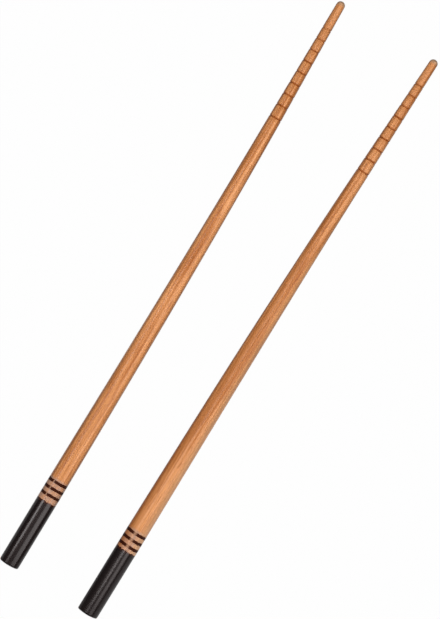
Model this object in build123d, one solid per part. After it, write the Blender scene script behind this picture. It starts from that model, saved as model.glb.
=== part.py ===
from build123d import *
import math
import os

# A pair of bamboo chopsticks lying side by side on a table, tips towards +Y, in millimetres.
# Each stick is one rod in three stretches: a parallel grip, a long tapering shaft and a turned end.
# The grip is a crowned square: four gently bulged faces with round corners. Its corners fade out
# along the shaft, so that the turned end with its scored rings is truly round.

# One stick, from butt to tip
LENGTH = 240.0
GRIP_LENGTH = 30.0
TURNED_LENGTH = 52.0
BUTT_WIDTH = 7.68
NECK_WIDTH = 4.92
TIP_RADIUS = 1.65

# The crowned square: face radius as a share of the half width, and half the turn of one face arc
FACE_RADIUS_SHARE = 1.6
FACE_HALF_TURN = 15.0

# The shaft, as shares of its length or of its taper: where the corners begin to fade,
# and how much of the taper is straight. The rest steepens towards the tip.
FADE_FROM_SHARE = 0.45
STRAIGHT_TAPER_SHARE = 0.65

# Sections that the shaft is drawn through
STATION_COUNT = 9

# The butt: height of its dome and the eased rim round that
DOME_HEIGHT = 0.5
BUTT_EASE = 0.6

# The scored and burnt rings of the turned end. The bare length is what they leave of it at both
# ends together, and the tip share is how much of that is at the tip. The gap nearest the hand is
# a little wider than the others.
RING_COUNT = 9
RING_WIDTH = 0.5
RING_DEPTH = 0.18
BARE_LENGTH = 14.2
LEFT_TIP_SHARE = 0.817
RIGHT_TIP_SHARE = 0.796
HAND_GAP_SHARE = 1.05

# How each stick lies, in degrees: how far its shaft bends sideways, away from the other stick and
# more so towards the tip, and its roll about its own length, which turns the upper face towards -X
LEFT_BEND = 1.08
RIGHT_BEND = 1.47
LEFT_ROLL = 0.0
RIGHT_ROLL = 26.0

# How the pair lies: distance between the two sticks at the butts and at the tips,
# and how far the left stick is ahead of the right one
BUTT_SPACING = 33.9
TIP_SPACING = 40.2
LEFT_LEAD = 0.43

# How far every cutting solid reaches past what it cuts
OVERRUN = 2.0

SHAFT_LENGTH = LENGTH - GRIP_LENGTH - TURNED_LENGTH

# Slope of the turned end, which is a cone that its round tip touches without an edge
TIP_CENTRE = TURNED_LENGTH - TIP_RADIUS
CONE_SLOPE = math.acos(TIP_RADIUS / math.hypot(TIP_CENTRE, NECK_WIDTH / 2)) - math.atan2(
    TIP_CENTRE, NECK_WIDTH / 2
)


def half_width(share):
    """Half the width across the faces, at a share of the shaft's length."""
    fallen = STRAIGHT_TAPER_SHARE * share + (1 - STRAIGHT_TAPER_SHARE) * share**2
    return (BUTT_WIDTH - (BUTT_WIDTH - NECK_WIDTH) * fallen) / 2


def face_radius(share):
    """Radius of the bulged faces, which becomes the half width where the shaft is round."""
    faded = max(0.0, share - FADE_FROM_SHARE) / (1 - FADE_FROM_SHARE)
    squareness = (1 + math.cos(math.pi * faded)) / 2
    return half_width(share) * (1 + (FACE_RADIUS_SHARE - 1) * squareness)


def corner_arc(share):
    """Radius of the corner arcs, tangent to the faces, and their centre's offset from the axis."""
    turn = math.radians(FACE_HALF_TURN)
    bulge = face_radius(share)
    radius = bulge - (bulge - half_width(share)) / (math.cos(turn) - math.sin(turn))
    return radius, (bulge - radius) * math.sin(turn)


def underside(share, roll):
    """How far the section reaches below its centre when the stick is rolled by an angle."""
    off_face = abs((roll + 45) % 90 - 45)
    turn = math.radians(off_face)
    if off_face < FACE_HALF_TURN:
        bulge = face_radius(share)
        return bulge - (bulge - half_width(share)) * math.cos(turn)
    radius, offset = corner_arc(share)
    return radius + offset * (math.cos(turn) + math.sin(turn))


def across(share, bend, roll):
    """Plane square to the shaft at a share of its length, with its X along the faces.

    Its origin is the section's centre: bent sideways, at the height that lays the underside
    on the table once the whole stick is rolled.
    """
    turned = math.radians(bend) * share**2
    aside = SHAFT_LENGTH * share * turned / 3
    centre = Vector(aside, GRIP_LENGTH + SHAFT_LENGTH * share, underside(share, roll))
    forward = Vector(math.tan(turned), 1, -math.tan(CONE_SLOPE * share))
    return Plane(centre.rotate(Axis.Y, roll), x_dir=(1, 0, 0), z_dir=forward.rotate(Axis.Y, roll))


def crowned_square(share):
    """The section: four shallow face arcs and four tighter corner arcs, each tangent to the next."""
    bulge = face_radius(share)
    radius, offset = corner_arc(share)
    corner_turn = 90 - 2 * FACE_HALF_TURN
    arcs = []
    for quarter in range(4):
        turn = Rot(0, 0, 90 * quarter)
        face_centre = (half_width(share) - bulge, 0)
        arcs.append(turn * CenterArc(face_centre, bulge, -FACE_HALF_TURN, 2 * FACE_HALF_TURN))
        arcs.append(turn * CenterArc((offset, offset), radius, FACE_HALF_TURN, corner_turn))
    return make_face(arcs)


def grip():
    """The parallel grip, standing on its domed butt with the rim eased.

    The ball that shapes the dome is turned so that its seam and poles are clear of it.
    """
    dome_radius = (BUTT_WIDTH**2 / 4 + DOME_HEIGHT**2) / (2 * DOME_HEIGHT)
    dome = Pos(0, 0, dome_radius) * Rot(0, -90, 0) * Sphere(dome_radius)
    standing = (Align.CENTER, Align.CENTER, Align.MIN)
    blank = Cylinder(BUTT_WIDTH / 2 + OVERRUN, DOME_HEIGHT + 2 * OVERRUN, align=standing)
    butt = extrude(crowned_square(0), GRIP_LENGTH) - (Pos(0, 0, -OVERRUN) * blank - dome)
    rim = butt.edges().filter_by(lambda edge: DOME_HEIGHT / 2 < edge.center().Z < BUTT_WIDTH / 2)
    return fillet(rim, BUTT_EASE)


def shaft(bend, roll):
    """The bent and tapering shaft, from the grip to the neck of the turned end.

    It runs straight from each section to the next: over spans this short that stays within
    two hundredths of a millimetre of the curve.
    """
    shares = [station / (STATION_COUNT - 1) for station in range(STATION_COUNT)]
    sections = [across(share, bend, roll) * crowned_square(share) for share in shares]
    return loft(sections, ruled=True)


def ring_heights(tip_share):
    """How far each ring is from the neck, the one nearest the hand first."""
    first = BARE_LENGTH * (1 - tip_share)
    last = TURNED_LENGTH - BARE_LENGTH * tip_share
    pitch = (last - first) / (RING_COUNT - 2 + HAND_GAP_SHARE)
    return [first] + [last - pitch * ring for ring in reversed(range(RING_COUNT - 1))]


def turned_end(tip_share):
    """The round end, turned in one piece: a cone with V-shaped rings scored into it and a round tip."""
    slope = math.tan(CONE_SLOPE)
    side = [(0, 0), (NECK_WIDTH / 2, 0)]
    for height in ring_heights(tip_share):
        for offset, depth in ((-RING_WIDTH / 2, 0), (0, RING_DEPTH), (RING_WIDTH / 2, 0)):
            side.append((NECK_WIDTH / 2 - slope * (height + offset) - depth, height + offset))
    shoulder = TIP_RADIUS * math.cos(CONE_SLOPE), TIP_CENTRE + TIP_RADIUS * math.sin(CONE_SLOPE)
    start_angle = math.degrees(CONE_SLOPE)
    round_tip = CenterArc((0, TIP_CENTRE), TIP_RADIUS, start_angle, 90 - start_angle)
    outline = Polyline(*side, shoulder) + round_tip + Line((0, TURNED_LENGTH), (0, 0))
    return revolve(Plane.XZ * make_face(outline), Axis.Z)


def chopstick(bend, roll, tip_share):
    """One stick lying on the table, with its butt at Y = 0 and its grip along Y."""
    stick = shaft(bend, roll)
    stick += across(0, bend, roll) * Pos(0, 0, -GRIP_LENGTH) * grip()
    stick += across(1, bend, roll) * turned_end(tip_share)
    return Rot(0, -roll, 0) * stick.solid()


def laid(stick, side, bend, lead):
    """A stick moved to its place beside the other: side is -1 for left and +1 for right.

    It is turned in plan so that the line from butt to tip has the pair's splay.
    """
    turn = math.radians(bend)
    tip = SHAFT_LENGTH * turn / 3 + TURNED_LENGTH * math.sin(turn)
    splay = math.asin((TIP_SPACING - BUTT_SPACING) / 2 / LENGTH)
    swing = math.degrees(side * splay - math.asin(tip / LENGTH))
    return Pos(side * BUTT_SPACING / 2, lead, 0) * Rot(0, 0, -swing) * stick


left = laid(chopstick(-LEFT_BEND, LEFT_ROLL, LEFT_TIP_SHARE), -1, -LEFT_BEND, LEFT_LEAD)
right = laid(chopstick(RIGHT_BEND, RIGHT_ROLL, RIGHT_TIP_SHARE), 1, RIGHT_BEND, 0)

# The origin is at the middle of the pair, on the table.
box = Compound([left, right]).bounding_box()
centred = Pos(-box.center().X, -box.center().Y, 0)

os.makedirs("parts", exist_ok=True)
export_step(centred * left, "parts/chopstick_left.step")
export_step(centred * right, "parts/chopstick_right.step")
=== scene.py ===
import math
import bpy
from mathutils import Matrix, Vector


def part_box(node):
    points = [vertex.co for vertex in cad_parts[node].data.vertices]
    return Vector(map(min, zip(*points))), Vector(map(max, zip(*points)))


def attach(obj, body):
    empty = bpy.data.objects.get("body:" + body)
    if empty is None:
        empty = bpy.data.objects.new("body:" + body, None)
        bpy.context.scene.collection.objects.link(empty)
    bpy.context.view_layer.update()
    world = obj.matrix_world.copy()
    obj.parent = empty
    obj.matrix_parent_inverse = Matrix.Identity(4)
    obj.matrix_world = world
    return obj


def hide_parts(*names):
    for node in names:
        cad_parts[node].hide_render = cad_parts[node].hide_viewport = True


bl_info = {
    "name": "Bamboo chopsticks",
    "version": (1, 0, 0),
    "blender": (4, 5, 0),
    "location": "3D View > Sidebar > Chopsticks",
    "description": "A pair of bamboo chopsticks with black butts, painted bands and burnt rings",
    "category": "Object",
}

import bpy
from bpy.props import (
    EnumProperty,
    FloatProperty,
    FloatVectorProperty,
    IntProperty,
    PointerProperty,
    StringProperty,
)
from mathutils import Euler, Vector

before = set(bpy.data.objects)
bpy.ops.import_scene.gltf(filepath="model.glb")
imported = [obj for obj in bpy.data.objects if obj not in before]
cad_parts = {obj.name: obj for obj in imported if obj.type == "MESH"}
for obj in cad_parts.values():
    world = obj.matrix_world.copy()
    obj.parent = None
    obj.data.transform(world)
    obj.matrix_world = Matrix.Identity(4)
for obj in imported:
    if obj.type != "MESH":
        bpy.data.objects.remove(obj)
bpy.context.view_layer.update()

# Lengths are in metres, as everywhere in the frame. Patterns are worked out in millimetres.
MM = 0.001

# Face arcs of the grip's section turn through this much either side of the middle of a face
FACE_HALF_TURN = math.radians(15)
STEPS_PER_ARC = 8

# How one scored ring is cut: place along it and depth, as shares of half its width and of its depth
RING_CUT_SHARES = (
    (-1.0, 0.0),
    (-0.72, 0.12),
    (-0.38, 0.74),
    (0.0, 1.0),
    (0.38, 0.74),
    (0.72, 0.12),
    (1.0, 0.0),
)

# Steps round the tip, round the eased rim of the butt and in over its dome
TIP_STEPS = 10
RIM_STEPS = 8
DOME_STEPS = 6

# Vertices closer than this are merged, and those closer than this to a plane count as in it
MERGE_DISTANCE = 0.01 * MM
PLANE_TOLERANCE = 0.002 * MM

# How much further apart the tips are than the butts
SPACING_GAIN = 6.3 * MM

# Mesh attribute that keeps each point's place on the straight stick
PLACE_ATTRIBUTE = "stick_place"

# Grain: scale of each noise per millimetre across, along and up the stick, and the span of it
# that is drawn out from none to full
WANDER_SCALE = (0.05, 0.03, 0.05)
STREAK_SCALE = (0.62, 0.016, 0.62)
STREAK_SPAN = (0.38, 0.62)
FIBRE_SCALE = (1.7, 0.030, 1.7)
FIBRE_SPAN = (0.36, 0.64)
FLECK_SCALE = (2.2, 0.13, 2.2)
FLECK_SPAN = (0.60, 0.70)
PATCH_SCALE = (0.25, 0.05, 0.25)
PATCH_SPAN = (0.35, 0.65)

# How far the fibres wander across and up, in millimetres, how much each part darkens the wood,
# and how far the fibres lie below the flecks
WANDER_ACROSS = 1.2
WANDER_UP = -0.9
STREAK_SHARE = 0.58
FIBRE_SHARE = 0.32
PATCH_SHARE = 0.10
FLECK_SHARE = 0.45
FIBRE_RELIEF = -0.6

# Edge of the lacquer: how far it wanders and how soft it is, in millimetres, and where before the
# edge the film begins to thin and has thinned
LACQUER_EDGE_SCALE = (0.55, 0.02, 0.55)
LACQUER_WOBBLE = 1.3
LACQUER_SOFTNESS = 0.08
LACQUER_THINS_FROM = 1.1
LACQUER_THINNED_BY = 0.3

# Bands: how many there are, how far it is from one to the next, how wide they are, how far they
# wander, how soft their edges are and how much their width varies, in millimetres, and the share
# of the paint that is left on the worn line, where the thinner paint is partly wear and partly a
# painted highlight
BAND_COUNT = 3
BAND_PITCH = 2.70
BAND_WIDTH = 1.18
BAND_EDGE_SCALE = (0.7, 0.12, 0.7)
BAND_WOBBLE = 0.55
BAND_SOFTNESS = 0.07
BAND_WIDTH_SCALE = (0.9, 0.5, 0.9)
BAND_WIDTH_VARIES = 0.3
WORN_AND_HIGHLIGHT_PAINT = 0.35

# Wear and the painted highlight thin the bands on the upper half only, with a change this wide to
# either side of the middle
UNDERSIDE_SOFTNESS = 0.2

# Rings: how far outside a ring's edge the burn begins and how far inside it is full, in
# millimetres, how patchy it is and the number of rings at the tip that it fades on
BURN_BEGINS = -0.36
BURN_FULL = 0.12
BURN_SCALE = (0.8, 0.25, 0.8)
BURN_SPAN = (0.3, 0.6)
LEAST_BURN = 0.7
FADING_RINGS = 2.0

# Pale wood: how far past the last band it reaches and its edge to either side of that, in
# millimetres, how patchy it is, and its least and greatest strength
PALE_REACH = 1.2
PALE_EDGE = (-0.4, 0.5)
PALE_SCALE = (0.9, 0.45, 0.9)
PALE_SPAN = (0.40, 0.62)
PALE_STRENGTH = (0.55, 0.95)

# Painted side light, in millimetres across the stick: the side with painted shade, its strength as
# a multiple of the painted side light, the stretch in millimetres along which it fades and what is
# left past that, and the side with painted light
PAINTED_SHADE_SIDE = (-2.4, 1.6)
PAINTED_SHADE_STRENGTH = 1.7
PAINTED_SHADE_FADES_ALONG = (70.0, 150.0)
PAINTED_SHADE_AT_TIP = 0.35
PAINTED_LIGHT_SIDE = (2.2, 3.9)

# End grain at the tip: how far from the end it begins and is full, in millimetres, and how strong
END_GRAIN_FROM = 2.3
END_GRAIN_FULL = 0.9
END_GRAIN = 0.55

# Painted shade on surfaces that slant away from the camera, less of it on the side with painted
# light
SLANT_SPAN = (0.08, 0.55)
SLANT_STRENGTH = 0.48
SLANT_SHADE = (0.42, 0.42, 0.42, 1.0)
RIM_SHADE_ON_LIGHT_SIDE = -1.8

# Gloss of the wood, the bands and the lacquer, whose coat thins where it slants away
WOOD_ROUGHNESS = 0.42
GRAIN_ROUGHNESS = 0.06
BAND_ROUGHNESS = 0.62
LACQUER_ROUGHNESS = 0.34
WOOD_COAT = 0.16
LACQUER_COAT = 0.48
LACQUER_COAT_AT_RIM = 0.05
LACQUER_COAT_SPAN = (0.15, 0.52)
SURFACE_IOR = 1.22
SPECULAR_TINT = (1.0, 0.66, 0.63, 1.0)
BUMP_STRENGTH = 0.25
BUMP_DISTANCE = 0.04 * MM

# Stage: the floor, how white it looks from the camera, and the world's light
FLOOR_SIZE = 4.0
FLOOR_ROUGHNESS = 0.9
FLOOR_WHITENESS = 0.988
WORLD_STRENGTH = 0.12

# Name, place, size across and along the sticks, and power in watts of each lamp
LAMPS = (
    ("key_lamp", (-0.169, 0.0, 0.3625), (0.083, 0.36), 0.86),
    ("second_lamp", (0.318, 0.0, 0.509), (0.43, 0.46), 2.56),
    ("top_lamp", (-0.04, 0.0, 1.5), (0.70, 0.80), 0.74),
)

# Where the camera looks down from, seen in plan, and the width of its sensor in millimetres
CAMERA_PLACE = (0.398 * MM, 0.49 * MM)
SENSOR_WIDTH = 36.0


class ChopstickSizes(bpy.types.PropertyGroup):
    """What both sticks have in common."""

    length: FloatProperty(
        name="Length", description="From butt to tip", default=240.0 * MM, unit="LENGTH"
    )
    grip: FloatProperty(
        name="Grip", description="Length of the parallel grip", default=30.0 * MM, unit="LENGTH"
    )
    turned: FloatProperty(
        name="Turned end",
        description="Length of the round end with its rings",
        default=52.0 * MM,
        unit="LENGTH",
    )
    butt_width: FloatProperty(
        name="Butt width", description="Across the faces", default=7.68 * MM, unit="LENGTH"
    )
    neck_width: FloatProperty(
        name="Neck width",
        description="Where the turned end begins",
        default=4.92 * MM,
        unit="LENGTH",
    )
    tip_radius: FloatProperty(
        name="Tip radius", description="Of the round tip", default=1.65 * MM, unit="LENGTH"
    )
    face_radius_share: FloatProperty(
        name="Face bulge",
        description="Radius of a face, as a share of the half width",
        default=1.6,
    )
    fade_from: FloatProperty(
        name="Corners fade from",
        description="Share of the shaft where its corners begin to fade",
        default=0.45,
        subtype="FACTOR",
    )
    straight_taper: FloatProperty(
        name="Straight taper",
        description="Share of the taper that is straight, while the rest steepens",
        default=0.65,
        subtype="FACTOR",
    )
    dome: FloatProperty(
        name="Butt dome", description="Height of the dome", default=0.5 * MM, unit="LENGTH"
    )
    butt_ease: FloatProperty(
        name="Butt rim", description="Radius of the eased rim", default=0.6 * MM, unit="LENGTH"
    )
    ring_count: IntProperty(name="Rings", description="Scored rings on each stick", default=9)
    ring_width: FloatProperty(
        name="Ring width", description="Of one scored ring", default=0.5 * MM, unit="LENGTH"
    )
    ring_depth: FloatProperty(
        name="Ring depth", description="Of one scored ring", default=0.18 * MM, unit="LENGTH"
    )
    bare: FloatProperty(
        name="Bare length",
        description="What the rings leave free of the turned end, at both ends together",
        default=14.2 * MM,
        unit="LENGTH",
    )
    hand_gap_share: FloatProperty(
        name="Hand gap", description="Gap nearest the hand, in other gaps", default=1.05
    )
    shaft_steps: IntProperty(
        name="Shaft steps", description="Sections that the shaft is drawn through", default=40
    )


class StickLie(bpy.types.PropertyGroup):
    """How one stick lies, and what is its own."""

    node: StringProperty(name="Node", description="CAD node that it stands for")
    side: IntProperty(name="Side", description="-1 for left, 1 for right", default=1)
    bend: FloatProperty(
        name="Bend", description="How far the shaft bends sideways", subtype="ANGLE"
    )
    roll: FloatProperty(
        name="Roll", description="Turn about its own length", subtype="ANGLE"
    )
    tip_share: FloatProperty(
        name="Tip share", description="Share of the bare length at the tip", default=0.8
    )
    lacquer_edge: FloatProperty(
        name="Lacquer edge", description="Where the black ends", default=27.0 * MM, unit="LENGTH"
    )
    first_band: FloatProperty(
        name="First band", description="Middle of the first band", default=29.6 * MM, unit="LENGTH"
    )
    band_tilt: FloatProperty(
        name="Band tilt", description="Slope of the painted bands", default=0.0
    )
    # The worn line and its reach thin the bands partly for wear and partly as a painted highlight
    # where the key lamp's highlight crosses them
    worn_and_highlight_line: FloatProperty(
        name="Worn and highlight line",
        description="Place across the stick's upper half where the bands are worn thin",
        default=1.45 * MM,
        unit="LENGTH",
    )
    worn_and_highlight_reach: FloatProperty(
        name="Worn reach",
        description="How far the wear of the bands reaches to either side of the worn line",
        default=0.45 * MM,
        unit="LENGTH",
    )
    grain_shift: FloatProperty(
        name="Grain shift", description="Picks another stretch of the grain", default=0.0
    )
    # Painted side light: painted shade on the left side and painted light on the right side, for
    # light that falls more from the right
    painted_side_light: FloatProperty(
        name="Painted side light",
        description="How much darker the wood is on the left side than on the right",
        default=0.0,
        subtype="FACTOR",
    )
    ring_fade: FloatProperty(
        name="Ring fade",
        description="How much fainter the burn is on the last ring but one, twice that on the last",
        default=0.2,
        subtype="FACTOR",
    )
    coat_roughness: FloatProperty(
        name="Coat roughness",
        description="Of the thin gloss over the whole stick",
        default=0.18,
        subtype="FACTOR",
    )


class ChopstickColours(bpy.types.PropertyGroup):
    """Colours of the wood, the lacquer and the paint, in scene-linear values."""

    light_wood: FloatVectorProperty(
        name="Light wood",
        description="Bamboo between its fibres",
        default=(0.780, 0.345, 0.135),
        subtype="COLOR",
        size=3,
        min=0,
        max=1,
    )
    dark_wood: FloatVectorProperty(
        name="Dark wood",
        description="Bamboo fibres",
        default=(0.410, 0.128, 0.028),
        subtype="COLOR",
        size=3,
        min=0,
        max=1,
    )
    vein: FloatVectorProperty(
        name="Vein",
        description="Short dark flecks in the grain",
        default=(0.300, 0.080, 0.018),
        subtype="COLOR",
        size=3,
        min=0,
        max=1,
    )
    pale_wood: FloatVectorProperty(
        name="Pale wood",
        description="Wood round the painted bands",
        default=(0.460, 0.270, 0.185),
        subtype="COLOR",
        size=3,
        min=0,
        max=1,
    )
    bare_tip: FloatVectorProperty(
        name="Bare tip",
        description="End grain at the very tip",
        default=(0.500, 0.370, 0.250),
        subtype="COLOR",
        size=3,
        min=0,
        max=1,
    )
    # Painted sheen: the colour of the painted light on the right side
    painted_sheen_wood: FloatVectorProperty(
        name="Painted sheen",
        description="Wood of the right side, where the side tone is not 0",
        default=(0.950, 0.535, 0.275),
        subtype="COLOR",
        size=3,
        min=0,
        max=1,
    )
    lacquer: FloatVectorProperty(
        name="Lacquer",
        description="Black of the butt",
        default=(0.008, 0.005, 0.005),
        subtype="COLOR",
        size=3,
        min=0,
        max=1,
    )
    band: FloatVectorProperty(
        name="Bands",
        description="Paint of the three bands",
        default=(0.040, 0.007, 0.001),
        subtype="COLOR",
        size=3,
        min=0,
        max=1,
    )
    burnt: FloatVectorProperty(
        name="Burnt rings",
        description="Burnt wood in the scored rings",
        default=(0.320, 0.078, 0.010),
        subtype="COLOR",
        size=3,
        min=0,
        max=1,
    )


class ChopstickStage(bpy.types.PropertyGroup):
    """The floor, the lamps and the camera."""

    camera_height: FloatProperty(
        name="Camera height", description="Above the table", default=1.2, unit="LENGTH"
    )
    camera_turn: FloatProperty(
        name="Camera turn",
        description="Turn of the picture about the upright",
        default=math.radians(31.466),
        subtype="ANGLE",
    )
    lens: FloatProperty(
        name="Lens", description="Focal length in millimetres on a 36 mm sensor", default=190.1
    )
    floor_colour: FloatVectorProperty(
        name="Floor",
        description="Colour of the floor",
        default=(0.20, 0.20, 0.20),
        subtype="COLOR",
        size=3,
        min=0,
        max=1,
    )


# Form of a stick

def half_width(sizes, share):
    """Half the width across the faces, at a share of the shaft's length."""
    straight = sizes.straight_taper
    fallen = straight * share + (1 - straight) * share**2
    return (sizes.butt_width - (sizes.butt_width - sizes.neck_width) * fallen) / 2


def squareness(sizes, share):
    """1 where the section is the full crowned square, 0 where it is round."""
    faded = max(0.0, share - sizes.fade_from) / (1 - sizes.fade_from)
    return (1 + math.cos(math.pi * faded)) / 2


def cone_slope(sizes):
    """Slope of the turned end, which its round tip touches without an edge."""
    centre = sizes.turned - sizes.tip_radius
    neck = sizes.neck_width / 2
    return math.acos(sizes.tip_radius / math.hypot(centre, neck)) - math.atan2(centre, neck)


def ring_heights(sizes, tip_share):
    """How far each scored ring is from the neck, the one nearest the hand first."""
    first = sizes.bare * (1 - tip_share)
    last = sizes.turned - sizes.bare * tip_share
    pitch = (last - first) / (sizes.ring_count - 2 + sizes.hand_gap_share)
    return [first] + [last - pitch * ring for ring in reversed(range(sizes.ring_count - 1))]


def shaft_sections(sizes):
    """Place along the stick, half width and squareness of each section of the shaft."""
    shaft = sizes.length - sizes.grip - sizes.turned
    sections = []
    for step in range(sizes.shaft_steps + 1):
        share = step / sizes.shaft_steps
        along = sizes.grip + shaft * share
        sections.append((along, half_width(sizes, share), squareness(sizes, share)))
    return sections


def turned_sections(sizes, tip_share):
    """The same for the turned end: its scored rings, then its round tip as far as the pole."""
    neck = sizes.length - sizes.turned
    slope = cone_slope(sizes)
    sections = []
    for height in ring_heights(sizes, tip_share):
        for place, cut in RING_CUT_SHARES:
            at = height + place * sizes.ring_width / 2
            radius = sizes.neck_width / 2 - math.tan(slope) * at - cut * sizes.ring_depth
            sections.append((neck + at, radius, 0.0))
    centre = sizes.length - sizes.tip_radius
    for step in range(TIP_STEPS):
        angle = slope + (math.pi / 2 - slope) * step / TIP_STEPS
        radius = sizes.tip_radius * math.cos(angle)
        sections.append((centre + sizes.tip_radius * math.sin(angle), radius, 0.0))
    return sections


def butt_sections(sizes):
    """Place along the stick and half width of each section of rim and dome, from the grip back."""
    half = sizes.butt_width / 2
    dome_radius = (half**2 + sizes.dome**2) / (2 * sizes.dome)
    ball = dome_radius - sizes.butt_ease
    reach = half - sizes.butt_ease
    rim_along = dome_radius - math.sqrt(ball**2 - reach**2)
    sweep = math.pi / 2 - math.asin(reach / ball)
    sections = []
    for step in range(RIM_STEPS + 1):
        angle = sweep * step / RIM_STEPS
        along = rim_along - sizes.butt_ease * math.sin(angle)
        sections.append((along, reach + sizes.butt_ease * math.cos(angle)))
    edge = sections[-1][1]
    for step in range(1, DOME_STEPS):
        radius = edge * (1 - step / DOME_STEPS)
        sections.append((dome_radius - math.sqrt(dome_radius**2 - radius**2), radius))
    return sections


# Mesh tools

def deselect_everything():
    bpy.ops.object.select_all(action="DESELECT")


def draw_crowned_square(sizes, along):
    """A new object in edit mode: the grip's section round the Y axis, spun arc by arc."""
    half = sizes.butt_width / 2
    bulge = sizes.face_radius_share * half
    across = math.cos(FACE_HALF_TURN) - math.sin(FACE_HALF_TURN)
    corner = bulge - (bulge - half) / across
    offset = (bulge - corner) * math.sin(FACE_HALF_TURN)
    start = Vector((half - bulge + bulge * math.cos(FACE_HALF_TURN), along, 0))
    start.z = -bulge * math.sin(FACE_HALF_TURN)
    deselect_everything()
    bpy.ops.mesh.primitive_plane_add(size=half, location=start)
    bpy.ops.object.transform_apply(location=True, rotation=True, scale=True)
    bpy.ops.object.mode_set(mode="EDIT")
    bpy.ops.mesh.select_mode(type="VERT")
    bpy.ops.mesh.select_all(action="SELECT")
    bpy.ops.mesh.merge(type="CENTER")
    for quarter in range(4):
        turn = Euler((0, -quarter * math.pi / 2, 0))
        face_centre = Vector((half - bulge, along, 0))
        face_centre.rotate(turn)
        corner_centre = Vector((offset, along, offset))
        corner_centre.rotate(turn)
        corner_turn = math.pi / 2 - 2 * FACE_HALF_TURN
        for centre, angle in ((face_centre, 2 * FACE_HALF_TURN), (corner_centre, corner_turn)):
            bpy.ops.mesh.spin(steps=STEPS_PER_ARC, angle=angle, center=centre, axis=(0, 1, 0))
    bpy.ops.mesh.select_all(action="SELECT")
    bpy.ops.mesh.remove_doubles(threshold=MERGE_DISTANCE)
    return bpy.context.object


def draw_out(step, ratio, along):
    """Extrudes the selected loop along the stick and sizes it about the stick's axis."""
    bpy.ops.mesh.extrude_edges_move(TRANSFORM_OT_translate={"value": (0, step, 0)})
    bpy.ops.transform.resize(value=(ratio, 1, ratio), center_override=(0, along, 0))


def close_with_pole(step):
    """Extrudes the selected loop once more and gathers it to one point on the axis."""
    bpy.ops.mesh.extrude_edges_move(TRANSFORM_OT_translate={"value": (0, step, 0)})
    bpy.ops.mesh.merge(type="CENTER")


def select_section(stick, along):
    """Selects the vertices that lie in one plane across the straight stick."""
    bpy.ops.mesh.select_all(action="DESELECT")
    bpy.ops.object.mode_set(mode="OBJECT")
    for vertex in stick.data.vertices:
        vertex.select = abs(vertex.co.y - along) < PLANE_TOLERANCE
    bpy.ops.object.mode_set(mode="EDIT")


def face_half_width(stick):
    """Half the width across the faces of the loop that is selected."""
    stick.update_from_editmode()
    return max(vertex.co.x for vertex in stick.data.vertices if vertex.select)


def carve_straight(sizes, tip_share):
    """The stick as it would be if it were straight: its axis on Y, its butt at Y = 0."""
    back = butt_sections(sizes)
    along, width = back[0]
    stick = draw_crowned_square(sizes, along)
    square = 1.0
    for to_along, to_half, to_square in shaft_sections(sizes) + turned_sections(sizes, tip_share):
        draw_out(to_along - along, 1.0, to_along)
        if to_square < square:
            middle = (0, to_along, 0)
            bpy.ops.transform.tosphere(value=1 - to_square / square, center_override=middle)
            width = face_half_width(stick)
        ratio = to_half / width
        bpy.ops.transform.resize(value=(ratio, 1, ratio), center_override=(0, to_along, 0))
        along, width, square = to_along, to_half, to_square
    close_with_pole(sizes.length - along)
    along, width = back[0]
    select_section(stick, along)
    for to_along, to_half in back[1:]:
        draw_out(to_along - along, to_half / width, to_along)
        along, width = to_along, to_half
    close_with_pole(-along)
    bpy.ops.mesh.select_all(action="SELECT")
    bpy.ops.mesh.normals_make_consistent(inside=False)
    bpy.ops.object.mode_set(mode="OBJECT")
    return stick


def mark_places(stick):
    """Keeps where each point is on the straight stick, for the patterns that follow the stick."""
    bpy.ops.geometry.attribute_add(
        name=PLACE_ATTRIBUTE, domain="POINT", data_type="FLOAT_VECTOR"
    )
    places = [0.0] * (3 * len(stick.data.vertices))
    stick.data.vertices.foreach_get("co", places)
    stick.data.attributes[PLACE_ATTRIBUTE].data.foreach_set("vector", places)


def bend_and_lower(stick, sizes, bend, roll):
    """Bends the shaft sideways and lays the rolled stick on the table, section by section."""
    stick.rotation_euler = (0, -roll, 0)
    bpy.ops.object.transform_apply(location=True, rotation=True, scale=True)
    shaft = sizes.length - sizes.grip - sizes.turned
    neck = sizes.length - sizes.turned
    slope = cone_slope(sizes)
    sections = {}
    for vertex in stick.data.vertices:
        sections.setdefault(round(vertex.co.y / MM, 3), []).append(vertex.index)
    low = {key: min(stick.data.vertices[i].co.z for i in own) for key, own in sections.items()}
    grip_low = low[min(low, key=lambda key: abs(key * MM - sizes.grip))]
    neck_low = low[min(low, key=lambda key: abs(key * MM - neck))]
    bpy.ops.object.mode_set(mode="EDIT")
    bpy.ops.mesh.select_mode(type="VERT")
    for key, own in sections.items():
        along = key * MM
        share = min(max((along - sizes.grip) / shaft, 0), 1)
        turned = bend * share**2
        aside = shaft * share * turned / 3
        pitch = slope * share
        height = -(grip_low if share == 0 else neck_low if share == 1 else low[key])
        past = max(along - neck, 0)
        forward = Vector((math.tan(turned), 1, -math.tan(pitch))).normalized()
        centre = Vector((aside, min(along, neck), height)) + forward * past
        bpy.ops.mesh.select_all(action="DESELECT")
        bpy.ops.object.mode_set(mode="OBJECT")
        for index in own:
            stick.data.vertices[index].select = True
        bpy.ops.object.mode_set(mode="EDIT")
        middle = (0, along, 0)
        bpy.ops.transform.rotate(value=pitch, orient_axis="X", center_override=middle)
        bpy.ops.transform.rotate(value=turned, orient_axis="Z", center_override=middle)
        bpy.ops.transform.translate(value=centre - Vector(middle))
    bpy.ops.object.mode_set(mode="OBJECT")


def plan_turn(sizes, lie):
    """Turn about the upright that gives the line from butt to tip the pair's splay."""
    shaft = sizes.length - sizes.grip - sizes.turned
    bend = lie.side * lie.bend
    tip = shaft * bend / 3 + sizes.turned * math.sin(bend)
    splay = math.asin(SPACING_GAIN / 2 / sizes.length)
    return -(lie.side * splay - math.asin(tip / sizes.length))


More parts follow.
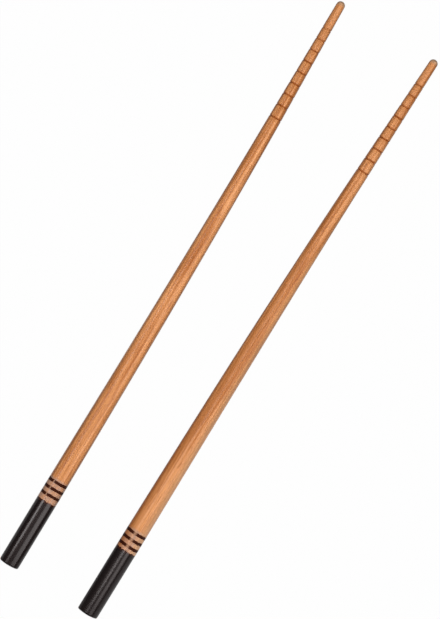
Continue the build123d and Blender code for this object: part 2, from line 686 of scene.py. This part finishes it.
def swing_into_place(stick, node, swing):
    """Turns the stick in plan and sets it where its CAD node lies."""
    stick.rotation_euler = (0, 0, swing)
    bpy.ops.object.transform_apply(location=True, rotation=True, scale=True)
    low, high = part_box(node)
    xs = [vertex.co.x for vertex in stick.data.vertices]
    ys = [vertex.co.y for vertex in stick.data.vertices]
    stick.location.x = (low.x + high.x - min(xs) - max(xs)) / 2
    stick.location.y = (low.y + high.y - min(ys) - max(ys)) / 2
    bpy.ops.object.transform_apply(location=True, rotation=True, scale=True)


# Shader tools

def new_node(tree, kind, **settings):
    node = tree.nodes.new(kind)
    for name, value in settings.items():
        setattr(node, name, value)
    return node


def feed(tree, socket, value):
    """Links a socket to another one, or sets it to a plain value."""
    if isinstance(value, bpy.types.NodeSocket):
        tree.links.new(value, socket)
    else:
        socket.default_value = value


def maths(tree, operation, *values):
    node = new_node(tree, "ShaderNodeMath", operation=operation)
    for socket, value in zip(node.inputs, values):
        feed(tree, socket, value)
    return node.outputs[0]


def vector_maths(tree, operation, *values):
    node = new_node(tree, "ShaderNodeVectorMath", operation=operation)
    for socket, value in zip(node.inputs, values):
        feed(tree, socket, value)
    return node.outputs["Vector"]


def span(tree, value, low, high, to_low=0.0, to_high=1.0):
    """Maps a value from one span to another, easing at both ends."""
    node = new_node(tree, "ShaderNodeMapRange", interpolation_type="SMOOTHSTEP")
    for socket, given in zip(node.inputs, (value, low, high, to_low, to_high)):
        feed(tree, socket, given)
    return node.outputs["Result"]


def noise(tree, place, scale, detail=2.0):
    """Noise that is drawn out by a different scale along each axis."""
    node = new_node(tree, "ShaderNodeTexNoise")
    feed(tree, node.inputs["Vector"], vector_maths(tree, "MULTIPLY", place, scale))
    node.inputs["Scale"].default_value = 1.0
    node.inputs["Detail"].default_value = detail
    return node.outputs["Fac"]


def distance(tree, first, second):
    return maths(tree, "ABSOLUTE", maths(tree, "SUBTRACT", first, second))


def off_nearest(tree, count, nearest, pitch):
    """How far a point is from the nearest of some evenly spaced lines."""
    return maths(tree, "MULTIPLY", distance(tree, count, nearest), pitch)


def mix_colour(tree, share, first, second, blend="MIX"):
    node = new_node(tree, "ShaderNodeMix", data_type="RGBA", blend_type=blend)
    feed(tree, node.inputs["Factor"], share)
    feed(tree, node.inputs["A"], first)
    feed(tree, node.inputs["B"], second)
    return node.outputs["Result"]


def new_group(name, inputs, outputs):
    """A node group with its sockets, returned with its input and output nodes."""
    tree = bpy.data.node_groups.new(name, "ShaderNodeTree")
    for label, kind in inputs:
        tree.interface.new_socket(label, in_out="INPUT", socket_type=kind)
    for label, kind in outputs:
        tree.interface.new_socket(label, in_out="OUTPUT", socket_type=kind)
    given = tree.nodes.new("NodeGroupInput")
    made = tree.nodes.new("NodeGroupOutput")
    return tree, given.outputs, made.inputs


def use_group(tree, group, **values):
    """Places a group in a material and fills its inputs, named with underscores for spaces."""
    node = new_node(tree, "ShaderNodeGroup", node_tree=group)
    for name, value in values.items():
        feed(tree, node.inputs[name.replace("_", " ")], value)
    return node.outputs


FLOAT = "NodeSocketFloat"
VECTOR = "NodeSocketVector"
COLOUR = "NodeSocketColor"


def bamboo_grain_group():
    """Long fibres that wander a little, broad streaks of tone, and short dark flecks."""
    tree, given, made = new_group(
        "Bamboo grain",
        [
            ("Place", VECTOR),
            ("Shift", FLOAT),
            ("Light", COLOUR),
            ("Dark", COLOUR),
            ("Vein", COLOUR),
        ],
        [("Color", COLOUR), ("Height", FLOAT)],
    )
    shift = new_node(tree, "ShaderNodeCombineXYZ")
    for socket in shift.inputs:
        tree.links.new(given["Shift"], socket)
    place = vector_maths(tree, "ADD", given["Place"], shift.outputs[0])
    wander = noise(tree, place, WANDER_SCALE, detail=1.0)
    wander_aside = new_node(tree, "ShaderNodeCombineXYZ")
    tree.links.new(maths(tree, "MULTIPLY", wander, WANDER_ACROSS), wander_aside.inputs[0])
    tree.links.new(maths(tree, "MULTIPLY", wander, WANDER_UP), wander_aside.inputs[2])
    place = vector_maths(tree, "ADD", place, wander_aside.outputs[0])
    streaks = span(tree, noise(tree, place, STREAK_SCALE, detail=1.0), *STREAK_SPAN)
    fibres = span(tree, noise(tree, place, FIBRE_SCALE), *FIBRE_SPAN)
    flecks = span(tree, noise(tree, place, FLECK_SCALE, detail=1.0), *FLECK_SPAN)
    patches = span(tree, noise(tree, place, PATCH_SCALE), *PATCH_SPAN)
    tone = maths(tree, "MULTIPLY", fibres, FIBRE_SHARE)
    tone = maths(tree, "MULTIPLY_ADD", streaks, STREAK_SHARE, tone)
    tone = maths(tree, "MULTIPLY_ADD", patches, PATCH_SHARE, tone)
    colour = mix_colour(tree, tone, given["Light"], given["Dark"])
    fleck_tone = maths(tree, "MULTIPLY", flecks, FLECK_SHARE)
    colour = mix_colour(tree, fleck_tone, colour, given["Vein"])
    tree.links.new(colour, made["Color"])
    tree.links.new(maths(tree, "MULTIPLY_ADD", fibres, FIBRE_RELIEF, flecks), made["Height"])
    return tree


def lacquer_dip_group():
    """1 where the butt was dipped, with the uneven edge that the dip leaves."""
    tree, given, made = new_group(
        "Lacquer dip",
        [("Place", VECTOR), ("Edge", FLOAT), ("Tilt", FLOAT), ("Wobble", FLOAT)],
        [("Mask", FLOAT)],
    )
    parts = new_node(tree, "ShaderNodeSeparateXYZ")
    tree.links.new(given["Place"], parts.inputs[0])
    uneven = maths(tree, "SUBTRACT", noise(tree, given["Place"], LACQUER_EDGE_SCALE), 0.5)
    edge = maths(tree, "MULTIPLY_ADD", uneven, given["Wobble"], given["Edge"])
    along = maths(tree, "MULTIPLY_ADD", parts.outputs["X"], given["Tilt"], parts.outputs["Y"])
    inside = maths(tree, "SUBTRACT", edge, along)
    mask = span(tree, inside, -LACQUER_SOFTNESS, LACQUER_SOFTNESS)
    tree.links.new(mask, made["Mask"])
    return tree


def painted_bands_group():
    """1 on the painted bands, whose edges run a little uneven, and less on the worn line, which is
    partly wear and partly a painted highlight.
    """
    tree, given, made = new_group(
        "Painted bands",
        [
            ("Place", VECTOR),
            ("First", FLOAT),
            ("Pitch", FLOAT),
            ("Width", FLOAT),
            ("Tilt", FLOAT),
            ("Wobble", FLOAT),
            ("Worn at", FLOAT),
            ("Worn reach", FLOAT),
        ],
        [("Mask", FLOAT)],
    )
    parts = new_node(tree, "ShaderNodeSeparateXYZ")
    tree.links.new(given["Place"], parts.inputs[0])
    uneven = maths(tree, "SUBTRACT", noise(tree, given["Place"], BAND_EDGE_SCALE), 0.5)
    along = maths(tree, "MULTIPLY_ADD", uneven, given["Wobble"], parts.outputs["Y"])
    along = maths(tree, "MULTIPLY_ADD", parts.outputs["X"], given["Tilt"], along)
    count = maths(tree, "DIVIDE", maths(tree, "SUBTRACT", along, given["First"]), given["Pitch"])
    nearest = maths(tree, "MAXIMUM", maths(tree, "ROUND", count), 0.0)
    nearest = maths(tree, "MINIMUM", nearest, float(BAND_COUNT - 1))
    off = off_nearest(tree, count, nearest, given["Pitch"])
    varied = noise(tree, given["Place"], BAND_WIDTH_SCALE)
    varied = maths(tree, "MULTIPLY_ADD", varied, BAND_WIDTH_VARIES, -BAND_WIDTH_VARIES / 2)
    half = maths(tree, "MULTIPLY_ADD", given["Width"], 0.5, maths(tree, "MULTIPLY", varied, 0.5))
    mask = span(tree, maths(tree, "SUBTRACT", half, off), -BAND_SOFTNESS, BAND_SOFTNESS)
    # The paint thins along a line on the upper half: partly wear, partly a painted highlight
    from_line = distance(tree, parts.outputs["X"], given["Worn at"])
    sound = span(tree, from_line, 0.0, given["Worn reach"], WORN_AND_HIGHLIGHT_PAINT, 1.0)
    below = span(tree, parts.outputs["Z"], -UNDERSIDE_SOFTNESS, UNDERSIDE_SOFTNESS, 1.0, 0.0)
    sound = maths(tree, "MAXIMUM", sound, below)
    tree.links.new(maths(tree, "MULTIPLY", mask, sound), made["Mask"])
    return tree


def burnt_rings_group():
    """How deep the burn is in and beside the scored rings, less so towards the tip."""
    tree, given, made = new_group(
        "Burnt rings",
        [
            ("Place", VECTOR),
            ("Hand ring", FLOAT),
            ("Last ring", FLOAT),
            ("Pitch", FLOAT),
            ("Even rings", FLOAT),
            ("Width", FLOAT),
            ("Fade", FLOAT),
        ],
        [("Mask", FLOAT)],
    )
    parts = new_node(tree, "ShaderNodeSeparateXYZ")
    tree.links.new(given["Place"], parts.inputs[0])
    along = parts.outputs["Y"]
    before_last = maths(tree, "SUBTRACT", given["Last ring"], along)
    count = maths(tree, "DIVIDE", before_last, given["Pitch"])
    nearest = maths(tree, "MAXIMUM", maths(tree, "ROUND", count), 0.0)
    nearest = maths(tree, "MINIMUM", nearest, maths(tree, "SUBTRACT", given["Even rings"], 1.0))
    off = off_nearest(tree, count, nearest, given["Pitch"])
    off = maths(tree, "MINIMUM", off, distance(tree, along, given["Hand ring"]))
    half = maths(tree, "MULTIPLY", given["Width"], 0.5)
    mask = span(tree, maths(tree, "SUBTRACT", half, off), BURN_BEGINS, BURN_FULL)
    uneven = span(tree, noise(tree, given["Place"], BURN_SCALE), *BURN_SPAN, LEAST_BURN, 1.0)
    near_tip = maths(tree, "MAXIMUM", maths(tree, "SUBTRACT", FADING_RINGS, count), 0.0)
    faded = maths(tree, "MULTIPLY", given["Fade"], near_tip)
    strength = maths(tree, "MAXIMUM", maths(tree, "SUBTRACT", uneven, faded), 0.0)
    tree.links.new(maths(tree, "MULTIPLY", mask, strength), made["Mask"])
    return tree


def group(name, build):
    """The named node group, built the first time that it is asked for."""
    return bpy.data.node_groups.get(name) or build()


def rgba(colour):
    return (*colour, 1.0)


def bamboo_material(name, sizes, lie, colours):
    """Satin bamboo with its black end, its bands, the paler wood round them and its burnt rings,
    with painted side light, painted rim shade and a painted highlight on the bands.
    """
    material = bpy.data.materials.new(name)
    material.use_nodes = True
    tree = material.node_tree
    surface = tree.nodes["Principled BSDF"]
    attribute = new_node(tree, "ShaderNodeAttribute", attribute_name=PLACE_ATTRIBUTE)
    scale = new_node(tree, "ShaderNodeVectorMath", operation="SCALE")
    tree.links.new(attribute.outputs["Vector"], scale.inputs[0])
    scale.inputs["Scale"].default_value = 1 / MM
    place = scale.outputs[0]
    parts = new_node(tree, "ShaderNodeSeparateXYZ")
    tree.links.new(place, parts.inputs[0])

    grain = use_group(
        tree,
        group("Bamboo grain", bamboo_grain_group),
        Place=place,
        Shift=lie.grain_shift,
        Light=rgba(colours.light_wood),
        Dark=rgba(colours.dark_wood),
        Vein=rgba(colours.vein),
    )
    dip = use_group(
        tree,
        group("Lacquer dip", lacquer_dip_group),
        Place=place,
        Edge=lie.lacquer_edge / MM,
        Tilt=lie.band_tilt,
        Wobble=LACQUER_WOBBLE,
    )
    bands = use_group(
        tree,
        group("Painted bands", painted_bands_group),
        Place=place,
        First=lie.first_band / MM,
        Pitch=BAND_PITCH,
        Width=BAND_WIDTH,
        Tilt=lie.band_tilt,
        Wobble=BAND_WOBBLE,
        Worn_at=lie.worn_and_highlight_line / MM,
        Worn_reach=lie.worn_and_highlight_reach / MM,
    )
    heights = ring_heights(sizes, lie.tip_share)
    neck = sizes.length - sizes.turned
    rings = use_group(
        tree,
        group("Burnt rings", burnt_rings_group),
        Place=place,
        Hand_ring=(neck + heights[0]) / MM,
        Last_ring=(neck + heights[-1]) / MM,
        Pitch=(heights[-1] - heights[-2]) / MM,
        Even_rings=float(sizes.ring_count - 1),
        Width=sizes.ring_width / MM,
        Fade=lie.ring_fade,
    )

    along = parts.outputs["Y"]
    across = parts.outputs["X"]
    pale_end = lie.first_band / MM + (BAND_COUNT - 1) * BAND_PITCH + PALE_REACH
    pale = span(tree, along, pale_end + PALE_EDGE[0], pale_end + PALE_EDGE[1], 1.0, 0.0)
    patchy = span(tree, noise(tree, place, PALE_SCALE, detail=3.0), *PALE_SPAN, *PALE_STRENGTH)
    pale = maths(tree, "MULTIPLY", pale, patchy)
    colour = mix_colour(tree, pale, grain["Color"], rgba(colours.pale_wood))
    # Painted shade on the left side in the dark fibre colour, fading towards the tip, and painted
    # light and sheen on the right side
    painted_shade_side = span(tree, across, *PAINTED_SHADE_SIDE, PAINTED_SHADE_STRENGTH * lie.painted_side_light, 0.0)
    towards_tip = span(tree, along, *PAINTED_SHADE_FADES_ALONG, 1.0, PAINTED_SHADE_AT_TIP)
    painted_shade_side = maths(tree, "MULTIPLY", painted_shade_side, towards_tip)
    colour = mix_colour(tree, painted_shade_side, colour, rgba(colours.dark_wood))
    painted_light_side = span(tree, across, *PAINTED_LIGHT_SIDE, 0.0, lie.painted_side_light)
    colour = mix_colour(tree, painted_light_side, colour, rgba(colours.painted_sheen_wood))
    end = sizes.length / MM
    tip = span(tree, along, end - END_GRAIN_FROM, end - END_GRAIN_FULL, 0.0, END_GRAIN)
    colour = mix_colour(tree, tip, colour, rgba(colours.bare_tip))
    colour = mix_colour(tree, rings["Mask"], colour, rgba(colours.burnt))
    colour = mix_colour(tree, bands["Mask"], colour, rgba(colours.band))
    edge = lie.lacquer_edge / MM
    thinned = span(tree, along, edge - LACQUER_THINS_FROM, edge - LACQUER_THINNED_BY)
    lacquer = mix_colour(tree, thinned, rgba(colours.lacquer), rgba(colours.band))
    colour = mix_colour(tree, dip["Mask"], colour, lacquer)
    # Painted shade where the surface slants away from the camera, weaker on the side with painted
    # light
    facing = new_node(tree, "ShaderNodeLayerWeight").outputs["Facing"]
    painted_rim_shade = span(tree, facing, *SLANT_SPAN, 0.0, SLANT_STRENGTH)
    on_painted_light_side = maths(tree, "MULTIPLY_ADD", painted_light_side, RIM_SHADE_ON_LIGHT_SIDE, 1.0)
    painted_rim_shade = maths(tree, "MULTIPLY", painted_rim_shade, on_painted_light_side)
    colour = mix_colour(tree, painted_rim_shade, colour, SLANT_SHADE, blend="MULTIPLY")
    tree.links.new(colour, surface.inputs["Base Color"])

    wood_roughness = maths(tree, "MULTIPLY_ADD", grain["Height"], GRAIN_ROUGHNESS, WOOD_ROUGHNESS)
    roughness = new_node(tree, "ShaderNodeMix", data_type="FLOAT")
    tree.links.new(dip["Mask"], roughness.inputs["Factor"])
    band_roughness = span(tree, bands["Mask"], 0.0, 1.0, wood_roughness, BAND_ROUGHNESS)
    tree.links.new(band_roughness, roughness.inputs["A"])
    roughness.inputs["B"].default_value = LACQUER_ROUGHNESS
    tree.links.new(roughness.outputs["Result"], surface.inputs["Roughness"])
    wood_coat = span(tree, bands["Mask"], 0.0, 1.0, WOOD_COAT, 0.0)
    black_coat = span(tree, facing, *LACQUER_COAT_SPAN, LACQUER_COAT, LACQUER_COAT_AT_RIM)
    coat = span(tree, dip["Mask"], 0.0, 1.0, wood_coat, black_coat)
    tree.links.new(coat, surface.inputs["Coat Weight"])
    surface.inputs["Coat Roughness"].default_value = lie.coat_roughness
    surface.inputs["IOR"].default_value = SURFACE_IOR
    surface.inputs["Specular Tint"].default_value = SPECULAR_TINT

    bump = new_node(tree, "ShaderNodeBump")
    bump.inputs["Strength"].default_value = BUMP_STRENGTH
    bump.inputs["Distance"].default_value = BUMP_DISTANCE
    tree.links.new(grain["Height"], bump.inputs["Height"])
    tree.links.new(bump.outputs["Normal"], surface.inputs["Normal"])
    return material


# Stage

def seen_directly(tree):
    """1 for rays of the camera and for those that mirror or pass through to it."""
    path = new_node(tree, "ShaderNodeLightPath")
    seen = maths(tree, "ADD", path.outputs["Is Camera Ray"], path.outputs["Is Glossy Ray"])
    seen = maths(tree, "ADD", seen, path.outputs["Is Transmission Ray"])
    return maths(tree, "MINIMUM", seen, 1.0)


def floor_material(colour):
    """A pale floor that looks white from the camera and still keeps the object's shadow."""
    material = bpy.data.materials.new("pale_floor")
    material.use_nodes = True
    tree = material.node_tree
    surface = tree.nodes["Principled BSDF"]
    surface.inputs["Base Color"].default_value = rgba(colour)
    surface.inputs["Roughness"].default_value = FLOOR_ROUGHNESS
    white = new_node(tree, "ShaderNodeEmission")
    mixed = new_node(tree, "ShaderNodeMixShader")
    share = maths(tree, "MULTIPLY", seen_directly(tree), FLOOR_WHITENESS)
    tree.links.new(share, mixed.inputs[0])
    tree.links.new(surface.outputs[0], mixed.inputs[1])
    tree.links.new(white.outputs[0], mixed.inputs[2])
    tree.links.new(mixed.outputs[0], tree.nodes["Material Output"].inputs["Surface"])
    return material


def add_lamp(name, place, size, power):
    """A soft oblong lamp, long in the direction of the sticks, that points at the origin."""
    deselect_everything()
    bpy.ops.object.light_add(type="AREA", location=place)
    lamp = bpy.context.object
    lamp.name = name
    lamp.data.shape = "RECTANGLE"
    lamp.data.size, lamp.data.size_y = size
    lamp.data.energy = power
    lamp.rotation_euler = (0, math.atan2(place[0], place[2]), 0)


def soft_world():
    """An even and plain studio light."""
    world = bpy.data.worlds.new("studio")
    bpy.context.scene.world = world
    world.use_nodes = True
    background = world.node_tree.nodes["Background"]
    background.inputs["Color"].default_value = (1, 1, 1, 1)
    background.inputs["Strength"].default_value = WORLD_STRENGTH


# Operators

class CHOPSTICKS_OT_carve_stick(bpy.types.Operator):
    """Carve one chopstick, bend and lay it where it belongs, and give it its finish"""

    bl_idname = "chopsticks.carve_stick"
    bl_label = "Carve stick"

    side: EnumProperty(
        name="Side", description="Which stick", items=[("LEFT", "Left", ""), ("RIGHT", "Right", "")]
    )

    def execute(self, context):
        scene = context.scene
        sizes = scene.chopstick_sizes
        lie = scene.left_stick if self.side == "LEFT" else scene.right_stick
        stick = carve_straight(sizes, lie.tip_share)
        stick.name = stick.data.name = "stick_" + self.side.lower()
        mark_places(stick)
        bend_and_lower(stick, sizes, lie.side * lie.bend, lie.roll)
        swing_into_place(stick, lie.node, plan_turn(sizes, lie))
        bpy.ops.object.shade_smooth()
        name = "bamboo_" + self.side.lower()
        material = bamboo_material(name, sizes, lie, scene.chopstick_colours)
        stick.data.materials.append(material)
        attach(stick, "root")
        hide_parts(lie.node)
        return {"FINISHED"}


class CHOPSTICKS_OT_set_stage(bpy.types.Operator):
    """Set the floor, the lamps, the world and the camera"""

    bl_idname = "chopsticks.set_stage"
    bl_label = "Set stage"

    def execute(self, context):
        stage = context.scene.chopstick_stage
        deselect_everything()
        bpy.ops.mesh.primitive_plane_add(size=FLOOR_SIZE, location=(0, 0, 0))
        floor = context.object
        floor.name = "table_top"
        floor.data.materials.append(floor_material(stage.floor_colour))
        soft_world()
        for name, place, size, power in LAMPS:
            add_lamp(name, place, size, power)
        deselect_everything()
        bpy.ops.object.camera_add(
            location=(*CAMERA_PLACE, stage.camera_height),
            rotation=(0, 0, stage.camera_turn),
        )
        camera = context.object
        camera.name = "camera"
        camera.data.lens = stage.lens
        camera.data.sensor_width = SENSOR_WIDTH
        context.scene.camera = camera
        context.scene.view_settings.view_transform = "Standard"
        return {"FINISHED"}


class CHOPSTICKS_PT_sidebar(bpy.types.Panel):
    """Sizes, colours and the steps that make the pair"""

    bl_idname = "CHOPSTICKS_PT_sidebar"
    bl_label = "Chopsticks"
    bl_space_type = "VIEW_3D"
    bl_region_type = "UI"
    bl_category = "Chopsticks"

    def draw(self, context):
        layout = self.layout
        for side in ("LEFT", "RIGHT"):
            label = f"Carve {side.lower()}"
            layout.operator(CHOPSTICKS_OT_carve_stick.bl_idname, text=label).side = side
        layout.operator(CHOPSTICKS_OT_set_stage.bl_idname)
        for name in SCENE_PROPERTIES:
            values = getattr(context.scene, name)
            column = layout.column()
            column.label(text=name.replace("_", " ").capitalize())
            for key in values.__annotations__:
                column.prop(values, key)


CLASSES = (
    ChopstickSizes,
    StickLie,
    ChopstickColours,
    ChopstickStage,
    CHOPSTICKS_OT_carve_stick,
    CHOPSTICKS_OT_set_stage,
    CHOPSTICKS_PT_sidebar,
)

# What the scene keeps, in the order in which the sidebar lists it
SCENE_PROPERTIES = {
    "chopstick_sizes": ChopstickSizes,
    "left_stick": StickLie,
    "right_stick": StickLie,
    "chopstick_colours": ChopstickColours,
    "chopstick_stage": ChopstickStage,
}


def register():
    for cls in CLASSES:
        bpy.utils.register_class(cls)
    for name, kind in SCENE_PROPERTIES.items():
        setattr(bpy.types.Scene, name, PointerProperty(type=kind))


def unregister():
    for name in SCENE_PROPERTIES:
        delattr(bpy.types.Scene, name)
    for cls in reversed(CLASSES):
        bpy.utils.unregister_class(cls)


# How each stick lies in the photo, and what is its own
LEFT_LIE = {
    "node": "chopstick_left",
    "side": -1,
    "bend": math.radians(1.08),
    "roll": math.radians(0),
    "tip_share": 0.817,
    "lacquer_edge": 27.45 * MM,
    "first_band": 29.9 * MM,
    "band_tilt": 0.0,
    "worn_and_highlight_line": -1.45 * MM,
    "worn_and_highlight_reach": 0.45 * MM,
    "grain_shift": 0.0,
    "painted_side_light": 0.0,
    "ring_fade": 0.27,
    "coat_roughness": 0.17,
}
RIGHT_LIE = {
    "node": "chopstick_right",
    "side": 1,
    "bend": math.radians(1.47),
    "roll": math.radians(26),
    "tip_share": 0.796,
    "lacquer_edge": 27.8 * MM,
    "first_band": 29.55 * MM,
    "band_tilt": 0.055,
    "worn_and_highlight_line": 1.40 * MM,
    "worn_and_highlight_reach": 1.0 * MM,
    "grain_shift": 61.0,
    # Painted light on its right side and painted shade on its left
    "painted_side_light": 0.45,
    "ring_fade": 0.12,
    "coat_roughness": 0.27,
}


def main():
    register()
    scene = bpy.context.scene
    for lie, values in ((scene.left_stick, LEFT_LIE), (scene.right_stick, RIGHT_LIE)):
        for name, value in values.items():
            setattr(lie, name, value)
    bpy.ops.chopsticks.carve_stick(side="LEFT")
    bpy.ops.chopsticks.carve_stick(side="RIGHT")
    bpy.ops.chopsticks.set_stage()


if __name__ == "__main__":
    main()
